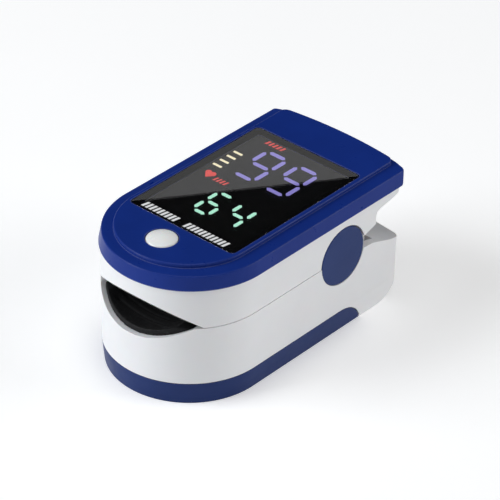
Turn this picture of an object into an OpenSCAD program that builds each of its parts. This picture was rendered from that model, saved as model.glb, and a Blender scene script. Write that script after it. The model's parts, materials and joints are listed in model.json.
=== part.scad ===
// Fingertip pulse oximeter: two sprung jaws, a display cover and a sliding battery door.
// Millimetres. +Z is up, -Y is the finger opening, the origin is under the middle of the base.

/* [Overall] */
// Length from the nose to the tail
body_l = 62; // [60:0.2:75]
// Width across the rim of the top cover
body_w = 34.9; // [34:0.1:42]
// Height of the raised plateau above the table
body_h = 30.3; // [30:0.1:36]

/* [Top cover] */
// Height of the cover's outer rim, measured down from the plateau
rim_depth = 4.1; // [3.6:0.1:4.6]
// Height of the plateau's step above the rim
step_h = 0.8; // [0.5:0.1:1.2]
// How far the plateau's sides lie inside the rim
plateau_inset = 3.25; // [2.8:0.05:4]
// How far the plateau's nose lies behind the rim's nose
plateau_setback = 2.65; // [2:0.05:4]
// How far the rim leans in over its height
rim_lean = 0.5; // [0:0.1:1]
// Rise of the crowned rim from its edge to the plateau
rim_crown = 0.35; // [0:0.05:0.6]
// Thickness of the cover's walls
cover_wall = 1.3; // [1:0.1:1.8]

/* [Window] */
// Width of the display window
window_w = 26.4; // [22:0.2:27]
// Length of the display window
window_l = 37; // [30:0.5:38]
// Distance from the plateau's nose to the window
window_setback = 11.85; // [11:0.05:14]
// Thickness of the display window
window_t = 0.95; // [0.7:0.05:1.2]
// Corner radius of the display window
window_r = 1.1; // [0.6:0.1:3]
// Gap all round the window
window_gap = 0.12; // [0.05:0.01:0.3]
// Width of the ledge that the window rests on
window_ledge = 1; // [0.6:0.1:1.5]

/* [Power button] */
// Diameter of the button
button_d = 6.2; // [5:0.1:7]
// Distance from the window's front edge to the button's centre
button_setback = 5; // [4.4:0.1:6]
// How far the button's dome stands above the plateau
button_proud = 0.7; // [0.3:0.1:1.2]
// Gap all round the button
button_gap = 0.15; // [0.1:0.01:0.3]
// Travel of the button
button_travel = 0.4; // [0.2:0.05:0.6]

/* [Housings] */
// Height of the parting line between the jaws
parting_z = 17.55; // [17:0.05:18]
// Gap between the closed jaws
parting_gap = 0.2; // [0.15:0.05:0.4]
// Wall thickness of both housings
housing_wall = 1.6; // [1.3:0.1:2]
// How far the rim overhangs the upper housing's sides
rim_overhang = 0.55; // [0.3:0.05:0.8]
// How far the rim overhangs the upper housing's nose
nose_overhang = 0.2; // [0.1:0.05:0.6]
// Radius of the shallow arc across the tail
tail_arc_r = 95; // [70:5:140]
// Corner radius of the tail
tail_corner_r = 1.8; // [1:0.1:3]
// Radius under the tail of the lower housing
heel_r = 5; // [3:0.5:6]

/* [Finger channel] */
// Radius of the arch over the finger
arch_r = 19.9; // [17:0.1:24]
// Height of the arch's crown above the parting line
arch_rise = 5.25; // [4.6:0.05:5.4]
// Radius of the trough under the finger
trough_r = 21.3; // [18:0.1:26]
// Depth of the trough below the parting line
trough_drop = 3.85; // [3.2:0.05:4]
// Thickness of both finger pads
pad_t = 1.3; // [1:0.1:1.5]
// Width of the bare lip in front of the pads
pad_setback = 0.95; // [0.7:0.05:2.5]
// Length of the finger channel from the nose
channel_l = 35.3; // [30:0.1:36]
// Gap behind the stop
stop_back = 0.6; // [0.5:0.1:1]
// Height of the stop that the fingertip meets, above the parting line
stop_rise = 2.6; // [1:0.1:3.4]

/* [Hinge] */
// Distance from the nose to the hinge axis
hinge_setback = 42.5; // [42:0.1:44]
// Height of the hinge axis
hinge_z = 17.67; // [17.4:0.01:18]
// Diameter of the round side cap
cap_d = 12.44; // [10.4:0.02:12.6]
// Thickness of the round side cap
cap_t = 1; // [0.8:0.1:1.1]
// Diameter of the hinge pin
pin_d = 3; // [2:0.1:3.2]
// Radial clearance of the pin in the turning cheek
pin_clear = 0.05; // [0.02:0.01:0.08]
// Sideways gap between the fixed ear and the turning cheek
cheek_gap = 0.3; // [0.2:0.05:0.4]
// Thickness of the fixed ears
ear_t = 1.4; // [1:0.1:1.6]
// Height that the tail opens from, at the end of the cheeks
pinch_z = 20.4; // [20:0.1:20.8]

/* [Battery door] */
// Height of the door's band round the base
band_h = 4.73; // [4:0.01:5]
// How far the band leans in towards the table
band_lean = 0.5; // [0:0.05:0.8]
// Thickness of the door's floor
door_t = 1.2; // [1:0.1:1.4]
// Gap between the door and the lower housing
door_gap = 0.15; // [0.1:0.01:0.25]
// Distance from the nose to the end of the door's floor
door_l = 48.6; // [46:0.1:50]

/* [Batteries] */
// Diameter of a cell, size AAA
cell_d = 10.5; // [10.1:0.1:10.5]
// Length of a cell with its terminal nub
cell_l = 44.5; // [43.5:0.1:44.5]
// Free space round a cell
cell_gap = 0.2; // [0.1:0.05:0.25]

/* [Electronics] */
// Thickness of the main board
board_t = 1; // [0.8:0.1:1.2]
// Height of the figures on the display, larger pair
digit_h = 10.1; // [9:0.1:11]
// Height of the figures on the display, smaller pair
small_digit_h = 7.65; // [6:0.05:8.5]

/* [Hidden] */
$fn = 96;

far = 100;                                     // reach of a cutter that passes right through
nose_y = -body_l / 2;
tail_y = body_l / 2;
both = [-1, 1];
seat_gap = 0.02;                               // under a pad that lies in a curved seat

// Cover
rim_w = body_w / 2;
rim_c = nose_y + rim_w;                        // centre of the rim's nose arc
rim_z = body_h - rim_depth;
rim_top_z = body_h - step_h - rim_crown;
plateau_w = rim_w - plateau_inset;
plateau_c = nose_y + plateau_setback + plateau_w;
plateau_tail_y = tail_y - 0.6;
edge_r = 0.35;                                 // rounding of the cover's long edges
cavity_z = body_h - 2;                         // ceiling inside the cover

// Window and button
window_y0 = nose_y + plateau_setback + window_setback;
window_c = window_y0 + window_l / 2;
window_z = body_h - window_t;
button_y = window_y0 - button_setback;
flange_r = button_d / 2 + 0.9;
flange_t = 0.6;

// Housings
upper_w = rim_w - rim_overhang;
upper_c = nose_y + nose_overhang + upper_w;
lower_w = upper_w - 0.05;
upper_z = parting_z + parting_gap / 2;
lower_z = parting_z - parting_gap / 2;
shell_tail_y = tail_y - rim_overhang;
floor_z = rim_z - 1.8;                         // top of the upper housing's floor
bay_z = floor_z - 1.1;                         // roof over the hinge bay
arch_z = parting_z + arch_rise - arch_r;       // height of the arch's axis
trough_z = parting_z - trough_drop + trough_r; // height of the trough's axis
deck_z = parting_z - trough_drop;
channel_y = nose_y + channel_l;

// Hinge, counted outwards from the middle
hinge_y = nose_y + hinge_setback;
cheek_out = upper_w - cap_t - 0.2;
cheek_in = cheek_out - 1.15;
ear_out = cheek_in - cheek_gap;
ear_in = ear_out - ear_t;
ear_r = 5.3;
knuckle_r = cap_d / 2 - 0.62;
recess_r = cap_d / 2 + 0.28;
cap_seat_r = cap_d / 2 + 0.03;
pin_r = pin_d / 2;
pin_in = ear_in - 4.2;
cheek_y = hinge_y + 9.7;                       // rear edge of the cheeks
bay_end_y = hinge_y + 10.9;

// Door and cells
skirt_w = lower_w - housing_wall - door_gap;   // skirt that the door slides over
door_y = nose_y + door_l;
door_in_w = skirt_w + door_gap;
end_r = 6.94;                                  // arc at the rear end of the door's band
end_c = door_y - 6.3;
cell_r = cell_d / 2;
nub_r = 1.9;
nub_l = 0.8;
cell_z = door_t + door_gap + cell_gap / 4 + cell_r;
cell_x = cell_r + cell_gap;
plate_t = 0.4;
spring_l = 1.3;
cells_y0 = upper_c - sqrt(pow(skirt_w - 1.2, 2) - pow(2 * cell_x, 2));
cells_y1 = cells_y0 + 2 * plate_t + spring_l + cell_l;
rail_z = 2.6;
rail_h = 0.8;
rail_w = 0.7;
plate_x = cell_x + 4;
plate_h = 3.4;
lead_x = 6.5;

// Electronics
board_z = floor_z + 0.3;
board_top = board_z + board_t;
board_w = 14.6;
board_y1 = hinge_y + 10;
display_z = board_top + 1.4;
face_z = body_h - 1.4;                         // black face of the display
segment_t = 0.15;
pin_x = window_w / 2 - window_ledge - 1.7;     // rows of display pins
cols = window_w / 26.4;                        // spacing of the figures across the display
rows = window_l / 37;                          // and along it
sensor_y = nose_y + 19;
boss_r = 2;
screw_r = 0.8;
screw_front_y = nose_y + 10;
screw_rear_y = tail_y - 5.5;
screw_spots = [[-8, screw_front_y], [8, screw_front_y], [-10.5, screw_rear_y],
    [10.5, screw_rear_y]];

// ---------- shapes used by several pieces ----------

// Points of an arc about (x, y), from angle a0 to a1 in n steps
function arc(x, y, r, a0, a1, n) =
    [for (i = [0:n]) let (a = a0 + (a1 - a0) * i / n) [x + r * cos(a), y + r * sin(a)]];

// Both halves of a section whose first and last points lie on the centre plane
function both_halves(half) =
    concat(half, [for (i = [len(half) - 1:-1:0]) [-half[i][0], half[i][1]]]);

// A half-section carried round the nose about y_c and straight back to y_end
module nose_sweep(y_c, y_end, half) {
    translate([0, y_c, 0]) rotate([0, 0, 180]) rotate_extrude(angle = 180) polygon(half);
    translate([0, y_end, 0]) rotate([90, 0, 0]) linear_extrude(y_end - y_c)
        polygon(both_halves(half));
}

// A plain block with the nose outline, half-width w, from z0 to z1
module nose_block(w, y_c, y_end, z0, z1) {
    nose_sweep(y_c, y_end, [[0, z0], [w, z0], [w, z1], [0, z1]]);
}

// Everything in front of the tail's shallow arc and round corners
module tail_limit(w, y_end, corner) {
    y_o = y_end - tail_arc_r;
    y_k = y_o + sqrt(pow(tail_arc_r - corner, 2) - pow(w - corner, 2));
    x_t = (w - corner) * tail_arc_r / (tail_arc_r - corner);
    translate([0, 0, -1]) linear_extrude(body_h + 4) intersection() {
        translate([0, y_o]) circle(tail_arc_r);
        union() {
            translate([-w - 1, -far]) square([2 * w + 2, far + y_k]);
            translate([-x_t, -far]) square([2 * x_t, far + tail_y + 1]);
            for (s = both) translate([s * (w - corner), y_k]) circle(corner);
        }
    }
}

// A side outline in Y and Z, carried across from x0 to x1
module across(x0, x1) {
    translate([x0, 0, 0]) rotate([90, 0, 90]) linear_extrude(x1 - x0) children();
}

// A cylinder along X, about the hinge axis
module hinge_disc(r, x0, x1) {
    translate([x0, hinge_y, hinge_z]) rotate([0, 90, 0]) cylinder(r = r, h = x1 - x0);
}

// The same on both sides, from |x| = x0 to x1
module hinge_discs(r, x0, x1) {
    hinge_disc(r, x0, x1);
    hinge_disc(r, -x1, -x0);
}

// A block given by its low and high corners
module block(low, high) {
    translate(low) cube(high - low);
}

// An upright block with round corners
module round_block(w, l, r, y0, z0, z1) {
    translate([0, y0, z0]) linear_extrude(z1 - z0) union() {
        translate([-w / 2 + r, 0]) square([w - 2 * r, l]);
        translate([-w / 2, r]) square([w, l - 2 * r]);
        for (sx = both, y = [r, l - r]) translate([sx * (w / 2 - r), y]) circle(r);
    }
}

function unit(v) = v / norm(v);
function tangent(p, i) = unit(p[min(i + 1, len(p) - 1)] - p[max(i - 1, 0)]);
function carried(n, t) = unit(n - (n * t) * t);

// Normals carried along a path without twist
function normals(p, i = 0, n = [0.31, 0.87, 0.39]) =
    i == len(p) ? [] :
    let (m = carried(n, tangent(p, i))) concat([m], normals(p, i + 1, m));

// A round wire of radius r along a list of points
module wire(path, r, sides = 8) {
    n = normals(path);
    rings = len(path);
    points = [for (i = [0:rings - 1], k = [0:sides - 1])
        let (a = 360 * k / sides, b = cross(tangent(path, i), n[i]))
        path[i] + r * (cos(a) * n[i] + sin(a) * b)];
    walls = [for (i = [0:rings - 2], k = [0:sides - 1])
        let (q = (k + 1) % sides)
        [i * sides + q, i * sides + k, (i + 1) * sides + k, (i + 1) * sides + q]];
    ends = [[for (k = [0:sides - 1]) k],
        [for (k = [sides - 1:-1:0]) (rings - 1) * sides + k]];
    polyhedron(points, concat(walls, ends));
}

// ---------- upper jaw ----------

module top_cover() {
    cavity_w = rim_w - rim_lean - cover_wall;
    color("#16307f") difference() {
        union() {
            intersection() {
                nose_sweep(rim_c, tail_y + 1, concat(
                    [[0, rim_z], [rim_w, rim_z]],
                    arc(rim_w - rim_lean - edge_r, rim_top_z - edge_r, edge_r, 0, 80, 4),
                    [[plateau_w, rim_top_z + rim_crown], [0, rim_top_z + rim_crown]]));
                tail_limit(rim_w, tail_y, tail_corner_r);
            }
            intersection() {
                nose_sweep(plateau_c, tail_y, concat(
                    [[0, rim_z + 1], [plateau_w, rim_z + 1]],
                    arc(plateau_w - edge_r, body_h - edge_r, edge_r, 0, 90, 4),
                    [[0, body_h]]));
                tail_limit(plateau_w, plateau_tail_y, tail_corner_r);
            }
        }
        difference() {
            intersection() {
                nose_block(cavity_w, rim_c, tail_y, rim_z - 1, cavity_z);
                tail_limit(cavity_w, tail_y - cover_wall, tail_corner_r);
            }
            for (p = screw_spots) translate([p[0], p[1], rim_z - 1]) cylinder(r = boss_r, h = far);
        }
        // window seat, window opening and button hole
        round_block(window_w + 2 * window_gap, window_l + 2 * window_gap, window_r,
            window_y0 - window_gap, window_z, body_h + 1);
        round_block(window_w - 2 * window_ledge, window_l - 2 * window_ledge, window_r,
            window_y0 + window_ledge, rim_z + 1, body_h + 1);
        translate([0, button_y, rim_z]) cylinder(r = button_d / 2 + button_gap, h = far);
        for (p = screw_spots) translate([p[0], p[1], rim_z - 2])
            cylinder(r = screw_r, h = cavity_z - rim_z + 2);
    }
    // lower ends of the front screw posts
    color("#16307f") for (p = [screw_spots[0], screw_spots[1]]) translate([p[0], p[1], floor_z])
        difference() {
            cylinder(r = boss_r, h = rim_z - floor_z);
            translate([0, 0, -1]) cylinder(r = screw_r, h = far);
        }
}

module display_window() {
    color("#0b0c10") round_block(window_w, window_l, window_r - window_gap, window_y0, window_z,
        body_h - 0.04);
}

module upper_housing() {
    core_w = upper_w - housing_wall;
    rear_wall_y = cheek_y - 1.2;                   // wall between the ears, behind the leads
    rear_wall_z = hinge_z + 1.8;
    pocket_x = 13.65;                              // pockets that lighten the thick sides
    pocket_w = 2.8;
    head_r = 1.7;                                  // recesses for the screw heads
    tail_under = [[cheek_y, 22.3], [cheek_y + 0.4, 23.1], [cheek_y + 1.4, 23.5],
        [tail_y - 4.9, 24.1], [tail_y + 1, 25.7]];
    color("#e4e4e2") difference() {
        union() {
            intersection() {
                nose_block(upper_w, upper_c, tail_y, upper_z, rim_z);
                tail_limit(upper_w, shell_tail_y, tail_corner_r);
                across(-far, far) polygon(concat(
                    [[-far, body_h], [-far, upper_z], [hinge_y, upper_z], [cheek_y, pinch_z]],
                    tail_under, [[tail_y + 1, body_h]]));
            }
            hinge_discs(knuckle_r, cheek_in, cheek_out);
            block([cheek_gap - ear_in, rear_wall_y, rear_wall_z],
                [ear_in - cheek_gap, cheek_y, rim_z - 1]);
        }
        // finger channel, hinge bay and electronics bay
        translate([0, channel_y, arch_z]) rotate([90, 0, 0]) cylinder(r = arch_r, h = far);
        difference() {
            block([-cheek_in, channel_y - 0.5, 0], [cheek_in, cheek_y + 0.01, bay_z]);
            block([cheek_gap - ear_in, rear_wall_y, rear_wall_z],
                [ear_in - cheek_gap, cheek_y, far]);
        }
        nose_block(core_w, upper_c, cheek_y + 1.3, floor_z, body_h);
        for (s = both) block([s * pocket_x - pocket_w / 2, sensor_y, 20.2],
            [s * pocket_x + pocket_w / 2, sensor_y + 14, body_h]);
        // ways through the floor for the emitter, the ribbon and leads, and the screws
        block([-3, sensor_y - 2.5, parting_z], [3, sensor_y + 2.5, body_h]);
        block([-5.5, hinge_y - 1.2, parting_z], [5.5, hinge_y + 1.2, body_h]);
        for (p = screw_spots) translate([p[0], p[1], parting_z])
            cylinder(r = screw_r + 0.1, h = far);
        for (p = screw_spots) translate([p[0], p[1], parting_z])
            cylinder(r = head_r, h = (p[1] == screw_front_y ? floor_z : rim_z) - 1 - parting_z);
        // hinge bores and the seats of the side caps
        hinge_discs(pin_r + pin_clear, cheek_in - 1, far);
        hinge_discs(recess_r, cheek_out, far);
    }
}

module upper_finger_pad() {
    curtain_y = channel_y - stop_back - 3;
    color("#26272b") intersection() {
        translate([0, far, arch_z]) rotate([90, 0, 0]) cylinder(r = arch_r - seat_gap, h = 2 * far);
        difference() {
            nose_block(upper_w - pad_setback, upper_c, channel_y - 0.7, upper_z + 0.6, floor_z);
            difference() {
                translate([0, far, arch_z]) rotate([90, 0, 0])
                    cylinder(r = arch_r - pad_t, h = 2 * far);
                block([-far, curtain_y, parting_z + 1.6], [far, curtain_y + 1.2, far]);
            }
            round_block(5, 4, 0.8, sensor_y - 2, upper_z, body_h);
        }
    }
}

module main_board() {
    color("#1f6b3a") difference() {
        nose_block(board_w, upper_c, board_y1, board_z, board_top);
        for (p = screw_spots) translate([p[0], p[1], board_z - 1]) cylinder(r = boss_r + 0.3, h = 4);
    }
}

module display_module() {
    color("#101114") round_block(window_w - 2 * window_ledge - 0.4,
        window_l - 2 * window_ledge - 0.4, window_r, window_y0 + window_ledge + 0.2, display_z,
        face_z);
}

module display_pins() {
    pin_y0 = window_y0 + 3.5;
    color("#c9ccd0") for (s = both, i = [0:9])
        block([s * pin_x - 0.2, pin_y0 + 3.4 * i, board_top],
            [s * pin_x + 0.2, pin_y0 + 0.4 + 3.4 * i, display_z]);
}

// One lit segment lying along X or Y, centred at (x, y), with pointed ends
module segment(x, y, l, t, upright) {
    translate([x, y, face_z]) rotate([0, 0, upright ? 90 : 0]) linear_extrude(segment_t)
        polygon([[-l / 2, 0], [-l / 2 + t / 2, -t / 2], [l / 2 - t / 2, -t / 2], [l / 2, 0],
            [l / 2 - t / 2, t / 2], [-l / 2 + t / 2, t / 2]]);
}

// A seven-segment figure: lit lists its segments from "a" to "g", which stop short of its corners
module figure(x, y, w, h, t, short, lit) {
    l = w - t / 2 - short;
    m = h / 2 - t / 2 - short;
    if (search("a", lit)) segment(x, y + h / 2, l, t, false);
    if (search("b", lit)) segment(x + w / 2, y + h / 4, m, t, true);
    if (search("c", lit)) segment(x + w / 2, y - h / 4, m, t, true);
    if (search("d", lit)) segment(x, y - h / 2, l, t, false);
    if (search("e", lit)) segment(x - w / 2, y - h / 4, m, t, true);
    if (search("f", lit)) segment(x - w / 2, y + h / 4, m, t, true);
    if (search("g", lit)) segment(x, y, l, t, false);
}

module oxygen_digits() {
    color("#a58bff") for (x = [-4, 4])
        figure(x * cols, window_c + 8.75 * rows, 5 * cols, digit_h, 0.85, 0.7, "abcdfg");
}

module pulse_digits() {
    y = window_c - 7.35 * rows;
    color("#4fe0a8") {
        figure(-1.8 * cols, y, 3.7 * cols, small_digit_h, 0.72, 0.85, "acdefg");
        figure(4.5 * cols, y, 3.7 * cols, small_digit_h, 0.72, 0.85, "bcfg");
    }
}

module signal_bars() {
    color("#efe9a0") for (i = [0:3]) let (y = window_c + (3.1 + 2 * i) * rows)
        block([-11.4 * cols, y, face_z], [-9.3 * cols, y + 0.45, face_z + segment_t]);
}

module heart_icon() {
    color("#d8262f") translate([-9.4 * cols, window_c - 0.1 * rows, face_z])
        linear_extrude(segment_t) union() {
            polygon([[-1.12, 0.2], [0, -1.15], [1.12, 0.2], [0, 0.85]]);
            for (s = both) translate([s * 0.57, 0.5]) circle(0.63);
        }
}

module power_switch() {
    color("#b9bdc2") translate([0, button_y, board_top]) difference() {
        translate([-2.6, -2.6, 0]) cube([5.2, 5.2, 1.3]);
        translate([0, 0, 0.3]) cylinder(r = 1.35, h = 4);
    }
}

module microcontroller() {
    color("#202226") {
        block([-3.5, window_c, board_top + 0.15], [3.5, window_c + 7, board_top + 1.15]);
    }
    color("#c9ccd0") for (s = both, i = [0:7]) {
        block([s * 3.85 - 0.35, window_c + 0.35 + 0.85 * i, board_top],
            [s * 3.85 + 0.35, window_c + 0.65 + 0.85 * i, board_top + 0.4]);
        block([-3.15 + 0.85 * i, window_c + 3.15 + s * 3.85, board_top],
            [-2.85 + 0.85 * i, window_c + 3.85 + s * 3.85, board_top + 0.4]);
    }
}

module board_components() {
    color("#b08d57") {
        for (i = [0:5]) let (y = window_c - 11 + 3.2 * i)
            block([2.3 - pin_x, y, board_top], [3.9 - pin_x, y + 0.8, board_top + 0.6]);
        for (i = [0:4]) let (y = window_c - 9 + 3.6 * i)
            block([6.6, y, board_top], [7.8, y + 2, board_top + 0.8]);
        block([-2, window_c - 10, board_top], [2, window_c - 6.5, board_top + 1.1]);
        translate([0, window_c + 13, board_top]) cylinder(r = 1.6, h = 1.2);
    }
}

module led_emitter() {
    color("#d9d4c6") block([-2.6, sensor_y - 2.1, parting_z + arch_rise + 0.02],
        [2.6, sensor_y + 2.1, board_z]);
}

module emitter_lens() {
    color("#b8343a") round_block(4.94, 3.94, 0.77, sensor_y - 1.97,
        parting_z + arch_rise - pad_t, parting_z + arch_rise);
}

module cover_screws() {
    head_h = 0.9;
    color("#9a9ea3") for (p = screw_spots) {
        seat = (p[1] == screw_front_y ? floor_z : rim_z) - 1;
        translate([p[0], p[1], seat - head_h]) difference() {
            union() {
                cylinder(r = 1.5, h = head_h);
                cylinder(r = screw_r - 0.01, h = cavity_z - seat + 0.5);
            }
            for (a = [0, 90]) rotate([0, 0, a]) translate([-1, -0.2, -1]) cube([2, 0.4, 1.5]);
        }
    }
}

// ---------- power button ----------

module power_button() {
    dome_r = (pow(button_d / 2, 2) + pow(button_proud, 2)) / (2 * button_proud);
    color("#f2f2f0") translate([0, button_y, 0]) {
        intersection() {
            translate([0, 0, cavity_z - 0.1]) cylinder(r = button_d / 2, h = far);
            translate([0, 0, body_h + button_proud - dome_r]) sphere(dome_r);
        }
        translate([0, 0, cavity_z - 0.1 - flange_t]) cylinder(r = flange_r, h = flange_t);
    }
}

module switch_plunger() {
    color("#2b2c30") translate([0, button_y, board_top + 0.3 + button_travel + 0.1])
        cylinder(r = 1.2, h = cavity_z - 0.8 - button_travel - board_top - 0.3);
}

// ---------- lower jaw ----------

// Everything within the tail's heel: a block in front, and a heel turned about the tail's arc
module heel_limit() {
    r = tail_arc_r;
    block([-far, -far, -1], [far, tail_y - 19, far]);
    translate([0, shell_tail_y - r, 0]) rotate([0, 0, 70]) rotate_extrude(angle = 40)
        polygon(concat([[r - 20, -1], [r - heel_r - 0.5, -1]],
            arc(r - heel_r - 0.5, heel_r, heel_r, -90, 0, 6), [[r, 12], [r, 40], [r - 20, 40]]));
}

// Outside of the base, from the table to z1, with the band's lean below it
module base_block(z1) {
    nose_sweep(upper_c, tail_y, [[0, 0], [lower_w - band_lean, 0], [lower_w, band_h],
        [lower_w, z1], [0, z1]]);
}

// Side outline of the door, grown by g
module door_side(g) {
    difference() {
        translate([-far, -far]) square([far + door_y + g, far + band_h + g]);
        difference() {
            translate([end_c, -far]) square([far, 2 * far]);
            translate([end_c, band_h - end_r]) circle(end_r + g);
        }
    }
}

module ears() {
    slope = 10;
    for (s = both) across(s > 0 ? ear_in : -ear_out, s > 0 ? ear_out : -ear_in) union() {
        translate([hinge_y, hinge_z]) circle(ear_r);
        polygon([[hinge_y - 5.6, deck_z - 1], [hinge_y - 4.9, hinge_z - 1], [hinge_y, hinge_z + 1],
            [hinge_y + 9.6 * cos(slope), hinge_z + 9.6 * sin(slope)],
            [hinge_y + 9.6, hinge_z - 1.5], [hinge_y + 9.6, deck_z - 1]]);
    }
}

module lower_housing() {
    tail_top = [[hinge_y + 6, lower_z - 0.95], [hinge_y + 8.9, lower_z - 1.1],
        [hinge_y + 14.5, lower_z - 2.95], [tail_y + 1, lower_z - 4.15]];
    in_w = lower_w - housing_wall;
    color("#e4e4e2") difference() {
        union() {
            difference() {
                intersection() {
                    base_block(lower_z);
                    tail_limit(lower_w, shell_tail_y, tail_corner_r);
                    heel_limit();
                    across(-far, far) polygon(concat(
                        [[-far, -1], [-far, lower_z], [hinge_y, lower_z]], tail_top,
                        [[tail_y + 1, -1]]));
                }
                // finger trough, hinge bay and the notches for the side caps
                translate([0, channel_y, trough_z]) rotate([90, 0, 0])
                    cylinder(r = trough_r, h = far);
                block([-in_w, channel_y - 0.5, deck_z], [in_w, bay_end_y, far]);
                hinge_discs(cap_seat_r, ear_out, far);
            }
            ears();
        }
        // room for the door, with a skirt and floor left inside it
        difference() {
            across(-far, far) door_side(door_gap);
            nose_block(skirt_w, upper_c, tail_y, door_t + door_gap, far);
        }
        for (s = both) block([s * skirt_w - rail_w - 0.1, -far, rail_z - 0.15],
            [s * skirt_w + rail_w + 0.1, door_y - 2.2, rail_z + rail_h + 0.15]);
        block([-4.2, door_y - 1, 0.45], [4.2, door_y + 2.4, door_t + 0.2]);
        // battery bay
        for (s = both) translate([s * cell_x, cells_y1, cell_z]) rotate([90, 0, 0])
            cylinder(r = cell_r + cell_gap, h = cells_y1 - cells_y0);
        block([-cell_x - cell_r - cell_gap, cells_y0, door_t + door_gap],
            [cell_x + cell_r + cell_gap, cells_y1, cell_z]);
        block([-10.9, cells_y0, -1], [10.9, door_y - 0.4, cell_z]);
        for (y = [cells_y0, cells_y1 - plate_t]) block([-plate_x, y, cell_z - plate_h - 0.1],
            [plate_x, y + plate_t, cell_z + plate_h + 0.1]);
        for (s = both) block([s * 5.75 - 3.75, cells_y1 - 1, 2.2], [s * 5.75 + 3.75, cells_y1 + 4.1, 11]);
        // cores in the thick sides, open under the door
        for (s = both) block([s * 13 - 0.9, sensor_y + 2, -1],
            [s * 13 + 0.9, hinge_y + 2.5, deck_z - 1.9]);
        // sensor pocket, ribbon groove and lead slots
        block([-3.6, sensor_y - 4.5, deck_z - 1.4], [3.6, sensor_y + 4.5, deck_z + 0.5]);
        block([-3, sensor_y, deck_z - 0.85], [3, channel_y + 2.6, deck_z + 0.5]);
        for (s = both) block([s * lead_x - 0.9, hinge_y + 9.1, cell_z + plate_h],
            [s * lead_x + 0.9, cells_y1, deck_z + 0.8]);
        hinge_discs(pin_r, ear_in - 1, ear_out + 1);
    }
}

module lower_finger_pad() {
    pad_end = channel_y - stop_back;
    color("#26272b") difference() {
        union() {
            difference() {
                intersection() {
                    nose_block(upper_w - pad_setback, upper_c, pad_end, deck_z - 1, lower_z - 0.4);
                    translate([0, far, trough_z]) rotate([90, 0, 0])
                        cylinder(r = trough_r - seat_gap, h = 2 * far);
                }
                translate([0, far, trough_z]) rotate([90, 0, 0])
                    cylinder(r = trough_r - pad_t, h = 2 * far);
            }
            intersection() {
                block([-9, pad_end - 1.3, deck_z], [9, pad_end, parting_z + stop_rise]);
                translate([0, far, trough_z]) rotate([90, 0, 0])
                    cylinder(r = trough_r - seat_gap, h = 2 * far);
                translate([0, far, arch_z]) rotate([90, 0, 0])
                    cylinder(r = arch_r - pad_t - 0.4, h = 2 * far);
            }
        }
        round_block(5, 4, 0.8, sensor_y - 2, deck_z - 2, lower_z);
    }
}

module sensor_board() {
    color("#1f6b3a") block([-3.5, sensor_y - 4.4, deck_z - 1.4], [3.5, sensor_y + 4.4, deck_z - 0.85]);
}

module photodiode() {
    color("#1c1d22") block([-2, sensor_y - 1.5, deck_z - 0.85], [2, sensor_y + 1.5, deck_z - 0.02]);
}

module sensor_lens() {
    color("#5b5f66") round_block(4.94, 3.94, 0.77, sensor_y - 1.97, deck_z - 0.02, deck_z + pad_t);
}

// A cell lying along Y from y0, its nub towards +Y or, turned round, towards -Y
module cell(x, y0, turned) {
    translate([x, turned ? y0 + cell_l : y0, cell_z]) rotate([turned ? 90 : -90, 0, 0])
        rotate_extrude() polygon(concat([[0, 0], [cell_r - 0.4, 0]],
            arc(cell_r - 0.4, 0.4, 0.4, -90, 0, 3),
            arc(cell_r - 0.4, cell_l - nub_l - 0.4, 0.4, 0, 90, 3),
            [[nub_r, cell_l - nub_l], [nub_r, cell_l], [0, cell_l]]));
}

module battery_left() {
    color("#3c4148") cell(-cell_x, cells_y0 + plate_t + spring_l, false);
}

module battery_right() {
    color("#3c4148") cell(cell_x, cells_y0 + plate_t, true);
}

// A two-turn cone spring along Y, wide end at y0
module cone_spring(x, y0, way) {
    wire_r = 0.2;
    wire([for (i = [0:40]) let (a = 18 * i, r = 3.6 - 0.045 * i)
        [x + r * cos(a), y0 + way * (wire_r + (spring_l - 2 * wire_r) * i / 40), cell_z + r * sin(a)]],
        wire_r, 6);
}

module battery_springs() {
    color("#d2d4d6") {
        cone_spring(-cell_x, cells_y0 + plate_t, 1);
        cone_spring(cell_x, cells_y1 - plate_t, -1);
    }
}

// A flat contact plate across x0 to x1, whose front face is at y
module contact_plate(x0, x1, y) {
    block([x0, y, cell_z - plate_h], [x1, y + plate_t, cell_z + plate_h]);
}

// A rear contact plate on side s, with the tab that its lead is soldered to
module rear_contact(s) {
    y = cells_y1 - plate_t;
    contact_plate(min(s * 1.2, s * plate_x), max(s * 1.2, s * plate_x), y);
    block([s * lead_x - 0.7, y, cell_z], [s * lead_x + 0.7, y + plate_t, deck_z - 0.6]);
}

module contact_link() {
    color("#d2d4d6") contact_plate(-plate_x, plate_x, cells_y0);
}

module contact_positive() {
    color("#d2d4d6") rear_contact(-1);
}

module contact_negative() {
    color("#d2d4d6") rear_contact(1);
}

module hinge_pins() {
    color("#a9adb2") hinge_discs(pin_r, pin_in, cheek_out + 0.15);
}

module hinge_cap(x0) {
    color("#22305f") hinge_disc(cap_d / 2, x0, x0 + cap_t);
}

module hinge_cap_left() {
    hinge_cap(-cheek_out - 0.15 - cap_t);
}

module hinge_cap_right() {
    hinge_cap(cheek_out + 0.15);
}

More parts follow.
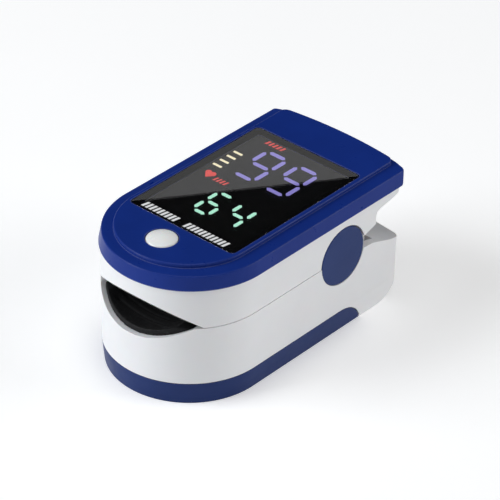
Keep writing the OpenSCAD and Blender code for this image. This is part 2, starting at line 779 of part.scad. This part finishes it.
// A torsion spring about the pin, both legs pointing to the tail
module torsion_spring(s) {
    coil_r = pin_r + 0.65;
    wire_r = 0.35;
    turns = 3.5;
    steps = 63;
    x0 = pin_in + 0.5;
    pitch = 0.85;
    leg = 8;
    path = concat(
        [[s * x0, hinge_y + leg, deck_z + wire_r + 0.05], [s * x0, hinge_y + leg / 2, hinge_z - coil_r - 0.6]],
        [for (i = [0:steps]) let (a = -90 - 360 * turns * i / steps)
            [s * (x0 + pitch * turns * i / steps), hinge_y + coil_r * cos(a), hinge_z + coil_r * sin(a)]],
        [[s * (x0 + pitch * turns), hinge_y + leg / 2, hinge_z + coil_r + 1],
            [s * (x0 + pitch * turns), hinge_y + leg, bay_z - wire_r - 0.05]]);
    color("#b7babd") wire(path, wire_r);
}

module torsion_spring_left() {
    torsion_spring(-1);
}

module torsion_spring_right() {
    torsion_spring(1);
}

// Flat flexible ribbon from the sensor up through the hinge axis to the main board
module sensor_ribbon() {
    t = 0.25;
    z0 = deck_z - 0.85;
    bend = 2.6;
    rise_y = hinge_y;
    inner = concat([[sensor_y + 2, z0 + t], [channel_y, z0 + t], [channel_y + 2.2, deck_z + 0.8]],
        arc(rise_y - bend, hinge_z - 0.4, bend, -60, 0, 5), [[rise_y, board_z]]);
    outer = concat([[rise_y + t, board_z]], arc(rise_y - bend, hinge_z - 0.4, bend + t, 0, -60, 5),
        [[channel_y + 2.3, deck_z + 0.5], [channel_y + 0.1, z0], [sensor_y + 2, z0]]);
    color("#b5692b") across(-2.4, 2.4) polygon(concat(inner, outer));
}

// Two insulated leads from the rear contacts to the main board
module battery_leads() {
    color("#b3262c") for (s = both)
        wire([[s * lead_x, cells_y1 - plate_t - 0.12, deck_z - 1.2],
            [s * lead_x, cells_y1 - 1.2, deck_z - 0.9], [s * lead_x, hinge_y + 10.4, deck_z],
            [s * 6.3, hinge_y + 8.5, deck_z + 0.9], [s * 5.6, hinge_y + 5.5, deck_z + 1.2],
            [s * 4.8, hinge_y + 2.5, deck_z + 1.8], [s * 4.3, hinge_y + 0.9, hinge_z - 0.8],
            [s * 4.1, hinge_y + 0.3, 19], [s * 4, hinge_y, 21], [s * 4, hinge_y, board_z]], 0.45);
}

// ---------- battery door ----------

module battery_door() {
    color("#2c3c6c") difference() {
        union() {
            intersection() {
                difference() {
                    base_block(band_h);
                    nose_block(door_in_w, upper_c, far, door_t, far);
                }
                across(-far, far) door_side(0);
            }
            for (s = both) block([s * (door_in_w - rail_w / 2 + 0.05) - rail_w / 2 - 0.05, nose_y + 25, rail_z],
                [s * (door_in_w - rail_w / 2 + 0.05) + rail_w / 2 + 0.05, door_y - 5, rail_z + rail_h]);
            block([-4, door_y - 2, 0.6], [4, door_y + 2.1, door_t]);
        }
        // thumb grooves under the nose
        for (i = [0:4]) block([-6, nose_y + 6 + 1.6 * i, -1], [6, nose_y + 6.8 + 1.6 * i, 0.35]);
    }
}

top_cover();
display_window();
upper_housing();
upper_finger_pad();
main_board();
display_module();
display_pins();
oxygen_digits();
pulse_digits();
signal_bars();
heart_icon();
power_switch();
microcontroller();
board_components();
led_emitter();
emitter_lens();
cover_screws();
power_button();
switch_plunger();
lower_housing();
lower_finger_pad();
sensor_board();
photodiode();
sensor_lens();
battery_left();
battery_right();
battery_springs();
contact_link();
contact_positive();
contact_negative();
hinge_pins();
hinge_cap_left();
hinge_cap_right();
torsion_spring_left();
torsion_spring_right();
sensor_ribbon();
battery_leads();
battery_door();
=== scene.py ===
"""Looks of the fingertip pulse oximeter: materials, finger pads, printed marks, lights and camera."""
import json
import math

import bmesh
import bpy
from mathutils import Matrix, Vector


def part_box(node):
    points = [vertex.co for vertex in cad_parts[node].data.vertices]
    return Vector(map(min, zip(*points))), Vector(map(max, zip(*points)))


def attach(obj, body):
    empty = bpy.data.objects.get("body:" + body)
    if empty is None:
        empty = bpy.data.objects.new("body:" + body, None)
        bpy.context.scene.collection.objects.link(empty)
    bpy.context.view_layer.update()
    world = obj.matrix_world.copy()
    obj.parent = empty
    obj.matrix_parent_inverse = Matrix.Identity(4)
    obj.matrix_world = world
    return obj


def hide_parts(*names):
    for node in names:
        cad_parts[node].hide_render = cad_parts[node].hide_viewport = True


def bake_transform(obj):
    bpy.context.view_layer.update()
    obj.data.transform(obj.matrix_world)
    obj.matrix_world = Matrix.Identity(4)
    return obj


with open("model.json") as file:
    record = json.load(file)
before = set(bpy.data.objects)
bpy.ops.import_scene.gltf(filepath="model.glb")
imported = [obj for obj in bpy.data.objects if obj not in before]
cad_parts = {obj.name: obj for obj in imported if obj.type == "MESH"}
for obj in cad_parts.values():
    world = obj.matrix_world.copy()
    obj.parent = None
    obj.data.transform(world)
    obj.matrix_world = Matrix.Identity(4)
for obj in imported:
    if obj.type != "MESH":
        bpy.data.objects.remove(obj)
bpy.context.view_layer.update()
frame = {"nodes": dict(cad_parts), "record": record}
nodes = frame["nodes"]
MM = 0.001


# ---------- camera ----------

def make_camera():
    """The photograph's viewpoint: from the front right and above, with a long lens."""
    azimuth, elevation, roll = (math.radians(a) for a in (41.33, 33.86, 0.925))
    distance = 556.4 * MM
    target = Vector((0, 0, 18.17 * MM))
    back = Vector((math.sin(azimuth) * math.cos(elevation),
                   -math.cos(azimuth) * math.cos(elevation), math.sin(elevation)))
    right = Vector((math.cos(azimuth), math.sin(azimuth), 0))
    up = back.cross(right)
    tilted_right = math.cos(roll) * right + math.sin(roll) * up
    tilted_up = back.cross(tilted_right)
    camera = bpy.data.objects.new("camera", bpy.data.cameras.new("camera"))
    bpy.context.scene.collection.objects.link(camera)
    turn = Matrix((tilted_right, tilted_up, back)).transposed().to_4x4()
    camera.matrix_world = Matrix.Translation(target + back * distance) @ turn
    camera.data.lens = 207.4
    camera.data.sensor_width = 36
    camera.data.shift_x = 0.0239
    camera.data.shift_y = -0.0098
    bpy.context.scene.camera = camera
    return camera


camera = make_camera()


# ---------- material helpers ----------

class Shader:
    """A new material with short ways to add nodes to it."""

    def __init__(self, name):
        self.material = bpy.data.materials.new(name)
        self.material.use_nodes = True
        self.tree = self.material.node_tree
        self.bsdf = self.tree.nodes["Principled BSDF"]
        self.coords = self.tree.nodes.new("ShaderNodeTexCoord").outputs["Object"]

    def node(self, kind, inputs=None, **settings):
        """A new node with its settings; each input is given a value or a socket to link."""
        made = self.tree.nodes.new(kind)
        for key, value in settings.items():
            setattr(made, key, value)
        for key, value in (inputs or {}).items():
            if isinstance(value, bpy.types.NodeSocket):
                self.tree.links.new(value, made.inputs[key])
            else:
                made.inputs[key].default_value = value
        return made

    def set(self, **values):
        """Sets the shader's own sockets: roughness=0.3 sets Roughness, or links a socket to it."""
        for key, value in values.items():
            socket = self.bsdf.inputs[key.replace("_", " ").title().replace("Ior", "IOR")]
            if isinstance(value, bpy.types.NodeSocket):
                self.tree.links.new(value, socket)
            else:
                socket.default_value = value

    def noise(self, size_mm, detail=3.0, rough=0.55, coords=None):
        """Noise with features of about size_mm."""
        return self.node("ShaderNodeTexNoise", {
            "Vector": coords or self.coords, "Scale": 1 / (size_mm * MM), "Detail": detail,
            "Roughness": rough}).outputs["Fac"]

    def bands(self, value, stops):
        """Flat bands of colour, each (start, colour)."""
        made = self.node("ShaderNodeValToRGB", {"Fac": value})
        made.color_ramp.interpolation = "CONSTANT"
        elements = made.color_ramp.elements
        while len(elements) < len(stops):
            elements.new(0.5)
        for element, (position, colour) in zip(elements, stops):
            element.position = position
            element.color = (*colour, 1)
        return made.outputs["Color"]

    def remap(self, value, low, high, from_low=0.3, from_high=0.7):
        """Takes from_low to low and from_high to high, in a straight line and clamped."""
        return self.node("ShaderNodeMapRange", {
            "Value": value, "From Min": from_low, "From Max": from_high, "To Min": low,
            "To Max": high}).outputs["Result"]

    def math(self, operation, a, b):
        return self.node("ShaderNodeMath", {0: a, 1: b}, operation=operation).outputs[0]

    def blend(self, fac, a, b):
        """Colour a mixed towards colour b by fac."""
        made = self.node("ShaderNodeMix", data_type="RGBA")
        for socket, value in ((made.inputs[0], fac), (made.inputs[6], a), (made.inputs[7], b)):
            if isinstance(value, bpy.types.NodeSocket):
                self.tree.links.new(value, socket)
            elif socket.type == "RGBA":
                socket.default_value = (*value, 1)
            else:
                socket.default_value = value
        return made.outputs[2]

    def bump(self, height, depth_mm, under=None):
        """A surface raised by up to depth_mm, on top of another bump if one is given."""
        inputs = {"Height": height, "Distance": depth_mm * MM, "Strength": 1.0}
        if under is not None:
            inputs["Normal"] = under
        return self.node("ShaderNodeBump", inputs).outputs["Normal"]

    def edge_wear_and_highlight(self, amount, reach_mm=0.3):
        """From 0 to amount, highest within reach_mm of an edge, broken up by noise: the mask for edge wear
        and for a painted edge highlight.
        """
        rounded = self.node("ShaderNodeBevel", {"Radius": reach_mm * MM}, samples=4)
        true = self.node("ShaderNodeNewGeometry").outputs["True Normal"]
        dot = self.node("ShaderNodeVectorMath", {0: rounded.outputs[0], 1: true},
                        operation="DOT_PRODUCT").outputs["Value"]
        edge = self.remap(dot, 1, 0, 0.75, 0.985)
        broken = self.remap(self.noise(1.4, 4), 0.55, 1.0)
        return self.math("MULTIPLY", self.math("MULTIPLY", edge, broken), amount)


def moulded_plastic(name, colour, roughness, grain_mm, grain_depth_mm, shine, edge, translucent=0.0,
                    mottled=0.06):
    """Injection-moulded plastic: faint mottle, spark-eroded grain, fine scuffs, and paler edges that are
    partly wear and partly a painted highlight.
    """
    s = Shader(name)
    mottle = s.remap(s.noise(9, 3), 0.0, 1.0)
    dark = [c * (1 - mottled) for c in colour]
    light = [min(1, c * (1 + mottled)) for c in colour]
    base = s.blend(mottle, dark, light)
    # paler edges: partly edge wear, partly a painted highlight along the edges
    pale_wear_and_highlight = [min(1, 1.2 * c + 0.14) for c in colour]
    base = s.blend(s.edge_wear_and_highlight(edge), base, pale_wear_and_highlight)
    scuffs = s.noise(3.2, 6, 0.7)
    s.set(base_color=base, roughness=s.remap(scuffs, roughness - 0.04, roughness + 0.07),
          specular_ior_level=shine, ior=1.5)
    grain = s.bump(s.noise(grain_mm, 2), grain_depth_mm)
    s.set(normal=s.bump(s.noise(6.5, 1), 0.012, under=grain))
    if translucent:
        s.set(subsurface_weight=translucent, subsurface_scale=0.6 * MM)
    return s.material


def lit_segment(name, colour, strength):
    """A glowing segment under a diffusing film, with a fine uneven grain."""
    s = Shader(name)
    grain = s.remap(s.noise(0.35, 2), 0.82, 1.0)
    glow = s.blend(grain, [c * 0.7 for c in colour], colour)
    s.set(base_color=glow, emission_color=glow, emission_strength=strength, roughness=0.5)
    s.set(normal=s.bump(s.noise(0.2, 2), 0.01))
    return s.material


def smoked_glass():
    """Polished acrylic panel with a smoke tint and the faintest dust."""
    s = Shader("smoked_window")
    dust = s.remap(s.noise(0.5, 5, 0.7), 0.0, 0.012, 0.45, 0.8)
    tint = s.blend(s.noise(14, 2), (0.60, 0.60, 0.62), (0.64, 0.64, 0.66))
    s.set(base_color=tint, roughness=dust, transmission_weight=1.0, ior=1.46)
    return s.material


def clear_lens(name, colour):
    """Cast clear resin with a faint tint and a polished skin."""
    s = Shader(name)
    s.set(base_color=s.blend(s.noise(1.2, 2), colour, [c * 0.85 for c in colour]),
          roughness=s.remap(s.noise(0.4, 3), 0.05, 0.12), transmission_weight=0.85, ior=1.5)
    return s.material


def silicone():
    """Black silicone: soft sheen, fine dust and a stippled skin."""
    s = Shader("pad_rubber")
    dusty = s.remap(s.noise(1.8, 6, 0.75), 0, 1, 0.5, 0.85)
    s.set(base_color=s.blend(dusty, (0.003, 0.003, 0.0035), (0.009, 0.009, 0.010)),
          roughness=s.remap(s.noise(0.8, 4), 0.5, 0.68), specular_ior_level=0.22,
          sheen_weight=0.05, sheen_roughness=0.5)
    stipple = s.node("ShaderNodeTexVoronoi", {"Vector": s.coords, "Scale": 1 / (0.35 * MM)})
    s.set(normal=s.bump(stipple.outputs["Distance"], 0.02))
    return s.material


def display_black():
    """Matt black potting with a fine grain, which reflects next to nothing."""
    s = Shader("display_black")
    s.set(base_color=s.blend(s.noise(0.6, 4), (0.0015, 0.0015, 0.0018), (0.003, 0.003, 0.0035)),
          roughness=s.remap(s.noise(0.3, 3), 0.75, 0.9), specular_ior_level=0.1)
    s.set(normal=s.bump(s.noise(0.15, 3), 0.01))
    return s.material


def metal(name, colour, roughness, brushed_along=0):
    """Drawn or plated metal with fine lines along one axis and slight tarnish."""
    s = Shader(name)
    stretch = [1.0, 1.0, 1.0]
    stretch[brushed_along] = 0.06
    lines = s.node("ShaderNodeMapping", {"Vector": s.coords, "Scale": stretch}).outputs["Vector"]
    tarnish = s.remap(s.noise(2.5, 5, 0.65), 0, 1, 0.4, 0.75)
    s.set(base_color=s.blend(tarnish, colour, [c * 0.72 for c in colour]), metallic=1.0,
          roughness=s.remap(s.noise(0.25, 3, 0.6, lines), roughness - 0.06, roughness + 0.1))
    s.set(normal=s.bump(s.noise(0.18, 2, 0.6, lines), 0.004))
    return s.material


def circuit_board():
    """Green solder mask over copper tracks, with pale vias."""
    s = Shader("board_green")
    tracks = s.node("ShaderNodeTexBrick", {
        "Vector": s.coords, "Scale": 1 / (4.2 * MM), "Mortar Size": 0.035, "Color1": (0, 0, 0, 1),
        "Color2": (0, 0, 0, 1), "Mortar": (1, 1, 1, 1)}).outputs["Color"]
    via = s.node("ShaderNodeTexVoronoi", {"Vector": s.coords, "Scale": 1 / (2.6 * MM)})
    dots = s.remap(via.outputs["Distance"], 1, 0, 0.08, 0.10)
    mask = s.blend(s.noise(1.5, 4), (0.010, 0.105, 0.035), (0.016, 0.15, 0.05))
    base = s.blend(tracks, mask, (0.05, 0.30, 0.09))
    s.set(base_color=s.blend(dots, base, (0.62, 0.60, 0.50)),
          roughness=s.remap(s.noise(0.5, 3), 0.25, 0.4), coat_weight=0.3)
    s.set(normal=s.bump(tracks, 0.03))
    return s.material


def small_part(name, colour, roughness):
    """Matt moulded epoxy or ceramic, with sanded grain."""
    s = Shader(name)
    s.set(base_color=s.blend(s.noise(0.5, 4), [c * 0.8 for c in colour], [c * 1.15 for c in colour]),
          roughness=s.remap(s.noise(0.3, 3), roughness - 0.08, roughness + 0.08))
    s.set(normal=s.bump(s.noise(0.12, 3), 0.015))
    return s.material


def ribbon():
    """Amber film over copper conductors that run along it."""
    s = Shader("ribbon_amber")
    across = s.node("ShaderNodeSeparateXYZ", {0: s.coords}).outputs["X"]
    stripes = s.math("PINGPONG", across, 0.3 * MM)
    lines = s.remap(stripes, 0, 1, 0.12 * MM, 0.18 * MM)
    film = s.blend(s.noise(2, 3), (0.40, 0.16, 0.025), (0.50, 0.21, 0.035))
    s.set(base_color=s.blend(lines, film, (0.62, 0.30, 0.10)), roughness=0.3, coat_weight=0.4)
    s.set(normal=s.bump(lines, 0.02))
    return s.material


def insulation():
    """Red vinyl insulation with a slight gloss and a drawn, uneven skin."""
    s = Shader("lead_red")
    s.set(base_color=s.blend(s.noise(1.2, 4), (0.36, 0.012, 0.012), (0.48, 0.022, 0.02)),
          roughness=s.remap(s.noise(0.7, 4), 0.34, 0.5), coat_weight=0.15)
    s.set(normal=s.bump(s.noise(0.4, 3), 0.01))
    return s.material


def cell_sleeve():
    """A printed sleeve with a copper-coloured band at one end and bare nickel ends."""
    nickel_grey, sleeve_black, band_copper = (0.62, 0.60, 0.57), (0.012, 0.013, 0.016), (0.45, 0.19, 0.06)
    sleeve_start, band_start, sleeve_end = 0.02, 0.74, 0.955
    low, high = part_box("battery_left")
    s = Shader("cell_sleeve")
    along = s.node("ShaderNodeSeparateXYZ", {0: s.coords}).outputs["Y"]
    share = s.remap(along, 0, 1, low[1], high[1])
    printed = s.bands(share, [(0.0, nickel_grey), (sleeve_start, sleeve_black), (band_start, band_copper),
                              (sleeve_end, nickel_grey)])
    bare = s.bands(share, [(0.0, (1, 1, 1)), (sleeve_start, (0, 0, 0)), (sleeve_end, (1, 1, 1))])
    s.set(base_color=printed, metallic=bare, roughness=s.remap(s.noise(1.5, 4), 0.22, 0.36),
          coat_weight=0.3)
    s.set(normal=s.bump(s.noise(0.6, 3), 0.01))
    return s.material


MATERIALS = {
    # edge=1.0 on the cover is mostly a painted highlight along the plateau and rim edges
    "cover_blue": moulded_plastic("cover_blue", (0.0080, 0.030, 0.220), roughness=0.30, grain_mm=0.22,
                                  grain_depth_mm=0.005, shine=0.13, edge=1.0),
    "cap_blue": moulded_plastic("cap_blue", (0.014, 0.036, 0.150), roughness=0.38, grain_mm=0.25,
                                grain_depth_mm=0.008, shine=0.15, edge=0.4),
    "door_blue": moulded_plastic("door_blue", (0.012, 0.030, 0.130), roughness=0.40, grain_mm=0.25,
                                 grain_depth_mm=0.009, shine=0.12, edge=0.4),
    "shell_white": moulded_plastic("shell_white", (0.80, 0.805, 0.82), roughness=0.33, grain_mm=0.22,
                                   grain_depth_mm=0.005, shine=0.4, edge=0.4, translucent=0.08,
                                   mottled=0.015),
    "button_white": moulded_plastic("button_white", (0.97, 0.98, 0.96), roughness=0.24, grain_mm=0.3,
                                    grain_depth_mm=0.004, shine=0.5, edge=0.2, translucent=0.08,
                                    mottled=0.01),
    "smoked_window": smoked_glass(),
    "pad_rubber": silicone(),
    "display_black": display_black(),
    "board_green": circuit_board(),
    "chip_black": small_part("chip_black", (0.020, 0.020, 0.022), roughness=0.55),
    "lit_lavender": lit_segment("lit_lavender", (0.33, 0.29, 0.74), strength=1.1),
    "lit_green": lit_segment("lit_green", (0.50, 0.95, 0.72), strength=1.35),
    "lit_yellow": lit_segment("lit_yellow", (0.93, 0.84, 0.55), strength=1.5),
    "lit_red": lit_segment("lit_red", (0.85, 0.07, 0.06), strength=1.1),
    "printed_white": moulded_plastic("printed_white", (0.93, 0.93, 0.93), roughness=0.45, grain_mm=0.1,
                                     grain_depth_mm=0.003, shine=0.3, edge=0.0),
    "lens_clear": clear_lens("lens_clear", (0.62, 0.56, 0.55)),
    "emitter_body": small_part("emitter_body", (0.62, 0.58, 0.48), roughness=0.5),
    "steel": metal("steel", (0.56, 0.57, 0.58), roughness=0.28),
    "spring_steel": metal("spring_steel", (0.50, 0.51, 0.53), roughness=0.24),
    "nickel": metal("nickel", (0.68, 0.66, 0.61), roughness=0.2, brushed_along=2),
    "tan_parts": small_part("tan_parts", (0.40, 0.27, 0.14), roughness=0.45),
    "ribbon_amber": ribbon(),
    "lead_red": insulation(),
    "cell_sleeve": cell_sleeve(),
}


# ---------- surfaces of the CAD pieces ----------

WELDED = {"merge_threshold": 0.002 * MM}  # closes the mesh's seams between faces
OUTER_EDGES = {  # rounding of the edges that a hand can feel, in mm
    "top_cover": 0.22, "upper_housing": 0.25, "lower_housing": 0.3, "battery_door": 0.22,
    "power_button": 0.3, "hinge_cap_left": 0.28, "hinge_cap_right": 0.28, "display_window": 0.08,
}


def smooth(obj):
    for face in obj.data.polygons:
        face.use_smooth = True


def modify(obj, kind, settings):
    """Adds a modifier with its settings."""
    modifier = obj.modifiers.new(kind.lower(), kind)
    for key, value in settings.items():
        setattr(modifier, key, value)


def dress(name, slot):
    """Gives a CAD node its material, and modifiers that round its edges or shade them sharp."""
    obj = nodes[name]
    custom = obj.data.attributes.get("custom_normal")
    if custom:
        obj.data.attributes.remove(custom)
    smooth(obj)
    obj.data.materials.clear()
    obj.data.materials.append(MATERIALS[slot])
    modify(obj, "WELD", WELDED)
    if name in OUTER_EDGES:
        modify(obj, "DECIMATE", {"decimate_type": "DISSOLVE", "angle_limit": math.radians(0.6)})
        modify(obj, "BEVEL", {"width": OUTER_EDGES[name] * MM, "segments": 3, "limit_method": "ANGLE",
                              "angle_limit": math.radians(34)})
        modify(obj, "WEIGHTED_NORMAL", {"keep_sharp": True})
    else:
        modify(obj, "EDGE_SPLIT", {"split_angle": math.radians(32)})


for part in frame["record"]["subparts"]:
    dress(part["node"], part["material_slot"])


# ---------- new pieces ----------

def add(name, mesh, body, slot, finish=None):
    """A new piece of the object with one material, riding on a body if one is given."""
    obj = bpy.data.objects.new(name, mesh)
    bpy.context.scene.collection.objects.link(obj)
    mesh.materials.clear()
    mesh.materials.append(MATERIALS[finish or slot])
    if body:
        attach(obj, body)
    return obj


def baked_copy(source, name, *modifiers):
    """A copy of a CAD node's mesh with modifiers, given as (type, {setting: value}), applied."""
    copy = bpy.data.objects.new(name, source.data.copy())
    bpy.context.scene.collection.objects.link(copy)
    for kind, settings in modifiers:
        modify(copy, kind, settings)
    bpy.context.view_layer.update()
    mesh = bpy.data.meshes.new_from_object(copy.evaluated_get(bpy.context.evaluated_depsgraph_get()))
    bpy.data.objects.remove(copy)
    return mesh


def finger_pad(node, body, surface_sign):
    """A moulded silicone pad with soft edges, and with cross ribs except round the lens and the rim."""
    mesh = baked_copy(
        nodes[node], node + "_soft", ("WELD", WELDED),
        ("REMESH", {"mode": "VOXEL", "voxel_size": 0.22 * MM, "use_smooth_shade": True}),
        ("SMOOTH", {"factor": 0.5, "iterations": 4}))
    low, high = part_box(node)
    front, rear, edge = low[1] + 2.4 * MM, high[1] - 4.2 * MM, high[0] - 4.0 * MM
    rib_pitch, rib_depth, rib_fade = 1.9 * MM, 0.28 * MM, 1.2 * MM
    lens_low, lens_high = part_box("sensor_lens")
    lens_y = (lens_low[1] + lens_high[1]) / 2
    plain_x, plain_y = 3.6 * MM, 3.2 * MM
    facing_finger = 0.5
    normals = [v.normal.copy() for v in mesh.vertices]
    for v, n in zip(mesh.vertices, normals):
        if surface_sign * n.z < facing_finger or not front < v.co.y < rear or abs(v.co.x) > edge:
            continue
        if abs(v.co.x) < plain_x and abs(v.co.y - lens_y) < plain_y:
            continue
        wave = 0.5 - 0.5 * math.cos(2 * math.pi * (v.co.y - front) / rib_pitch)
        fade = min(1.0, (edge - abs(v.co.x)) / rib_fade)
        v.co -= n * rib_depth * wave ** 2 * fade
    mesh.update()
    pad = add(node + "_soft", mesh, body, "pad_rubber")
    smooth(pad)
    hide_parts(node)


finger_pad("lower_finger_pad", "lower_jaw", 1)
finger_pad("upper_finger_pad", "upper_jaw", -1)


ROUNDED = {"levels": 1, "render_levels": 1}
CUT_FINER = {"levels": 3, "render_levels": 3, "subdivision_type": "SIMPLE"}


def bending(node, slot, subdivision):
    """A spring or lead that crosses the hinge: a subdivided copy of its CAD node, attached to neither body.
    """
    mesh = baked_copy(nodes[node], node, ("WELD", WELDED), ("SUBSURF", subdivision))
    piece = add(node + "_bent", mesh, None, slot)
    smooth(piece)
    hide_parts(node)
    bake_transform(piece)


for side in ("left", "right"):
    bending("torsion_spring_" + side, "spring_steel", ROUNDED)
bending("sensor_ribbon", "ribbon_amber", CUT_FINER)
bending("battery_leads", "lead_red", ROUNDED)


# ---------- printed marks on and under the window ----------

def flat_marks(name, outlines, z, slot, finish=None):
    """Thin printed shapes, each outline a list of (x, y), standing on height z."""
    thickness = 0.02 * MM
    built = bmesh.new()
    for outline in outlines:
        face = built.faces.new([built.verts.new((x, y, z)) for x, y in outline])
        top = bmesh.ops.extrude_face_region(built, geom=[face])["geom"]
        moved = [g for g in top if isinstance(g, bmesh.types.BMVert)]
        bmesh.ops.translate(built, verts=moved, vec=(0, 0, thickness))
    bmesh.ops.recalc_face_normals(built, faces=built.faces)
    mesh = bpy.data.meshes.new(name)
    built.to_mesh(mesh)
    built.free()
    add(name, mesh, "upper_jaw", slot, finish)


def dashes(x, y, count, width, pitch, height, lean, left_out=()):
    """A row of slanted dashes from (x, y) to the right, with everything in mm."""
    starts = [x + i * pitch for i in range(count) if i not in left_out]
    return [[(left * MM, y * MM), ((left + width) * MM, y * MM),
             ((left + width + lean) * MM, (y + height) * MM), ((left + lean) * MM, (y + height) * MM)]
            for left in starts]


window_low, window_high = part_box("display_window")
display_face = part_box("display_module")[1][2]
film = 0.01 * MM
flat_marks("front_stripe", dashes(x=-10.7, y=window_low[1] / MM + 0.6, count=22, width=0.6, pitch=0.97,
                                  height=1.75, lean=0.35, left_out=(9, 10)),
           window_high[2] + 0.004 * MM, "button_white", "printed_white")
flat_marks("red_marks", dashes(x=-9.1, y=17.7, count=5, width=0.5, pitch=0.95, height=1.3, lean=0.3)
           + dashes(x=-7.7, y=0.9, count=4, width=0.42, pitch=0.85, height=1.3, lean=0.3),
           display_face + film, "lit_red")


def window_border():
    """The black border with cut corners, printed round the underside of the window, over its ledge."""
    margin, width, cut = 0.05 * MM, 1.45 * MM, 1.0 * MM
    x, front, rear = window_high[0] - margin, window_low[1] + margin, window_high[1] - margin
    strips = []
    for outer, inward in ((front, 1), (rear, -1)):
        inner, cut_y = outer + inward * width, outer + inward * cut
        strips.append([(-x, inner), (-x, cut_y), (cut - x, outer), (x - cut, outer), (x, cut_y), (x, inner)])
    for side in (-1, 1):
        strips.append([(side * (x - width), front + width), (side * x, front + width),
                       (side * x, rear - width), (side * (x - width), rear - width)])
    flat_marks("window_border", strips, window_low[2] + film, "display_black")


window_border()


# ---------- floor and light ----------

def make_floor():
    """A plain pale floor that glows slightly, so that it is near white in the picture."""
    reach = 4.0
    mesh = bpy.data.meshes.new("floor")
    mesh.from_pydata([(-reach, -reach, 0), (reach, -reach, 0), (reach, reach, 0), (-reach, reach, 0)],
                     [], [(0, 1, 2, 3)])
    floor = bpy.data.objects.new("floor", mesh)
    bpy.context.scene.collection.objects.link(floor)
    s = Shader("pale_floor")
    tone = s.blend(s.noise(60, 2), (0.86, 0.86, 0.86), (0.88, 0.88, 0.88))
    s.set(base_color=tone, roughness=0.6, specular_ior_level=0.2, emission_color=tone,
          emission_strength=0.4)
    mesh.materials.append(s.material)


def area_light(name, size, power, colour=(1, 1, 1)):
    """A rectangular light that the camera doesn't see, still to be placed."""
    light = bpy.data.lights.new(name, "AREA")
    light.shape = "RECTANGLE"
    light.size, light.size_y = size
    light.energy = power
    light.color = colour
    obj = bpy.data.objects.new(name, light)
    bpy.context.scene.collection.objects.link(obj)
    obj.visible_camera = False
    return obj


def aim(light, place, target):
    """Puts a light in its place and turns it to the target."""
    light.location = place
    light.rotation_euler = (Vector(target) - Vector(place)).to_track_quat("-Z", "Y").to_euler()


def window_glare():
    """A card that lights only the window, where its edge is mirrored from front left to rear right."""
    width, height, reach = 0.6, 0.34, 2.1
    top = window_high[2]
    eye = camera.matrix_world.translation.copy()
    eye.z = 2 * top - eye.z

    def seen_in_window(x, y):
        return eye + (Vector((x, y, top)) - eye) * reach

    a = seen_in_window(window_low[0], window_low[1])
    b = seen_in_window(window_high[0], window_high[1])
    lit_side = seen_in_window(window_low[0], window_high[1])
    along = (b - a).normalized()
    inward = (lit_side - a) - along * (lit_side - a).dot(along)
    inward.normalize()
    facing = along.cross(inward)
    to_window = Vector((0, 0, top)) - (a + b) / 2
    back = facing if facing.dot(to_window) < 0 else -facing
    card = area_light("glare_card", (width, height), 0.42)
    turn = Matrix((inward.cross(back), inward, back)).transposed().to_4x4()
    card.matrix_world = Matrix.Translation((a + b) / 2 + inward * height / 2) @ turn
    only_window = bpy.data.collections.new("glare_receivers")
    only_window.objects.link(nodes["display_window"])
    card.light_linking.receiver_collection = only_window


def make_light():
    """Soft studio light: a cool key from the front left, a fill from the rear right, a top and a low one."""
    world = bpy.data.worlds.new("studio")
    bpy.context.scene.world = world
    world.use_nodes = True
    background = world.node_tree.nodes["Background"].inputs
    background["Color"].default_value = (0.95, 0.97, 1, 1)
    background["Strength"].default_value = 0.025
    middle = (0, 0, 0.015)
    cool = (0.94, 0.97, 1.0)
    aim(area_light("key", (0.7, 0.7), 10.0, cool), (-0.65, -0.75, 0.72), middle)
    aim(area_light("fill", (0.6, 0.6), 4.9), (0.8, 0.65, 0.42), middle)
    aim(area_light("top", (0.6, 0.6), 2.6), (0.1, -0.15, 1.0), middle)
    aim(area_light("low_front", (0.5, 0.2), 1.6, cool), (-0.45, -1.0, 0.12), middle)
    window_glare()


make_floor()
make_light()
bpy.context.scene.view_settings.view_transform = "Standard"
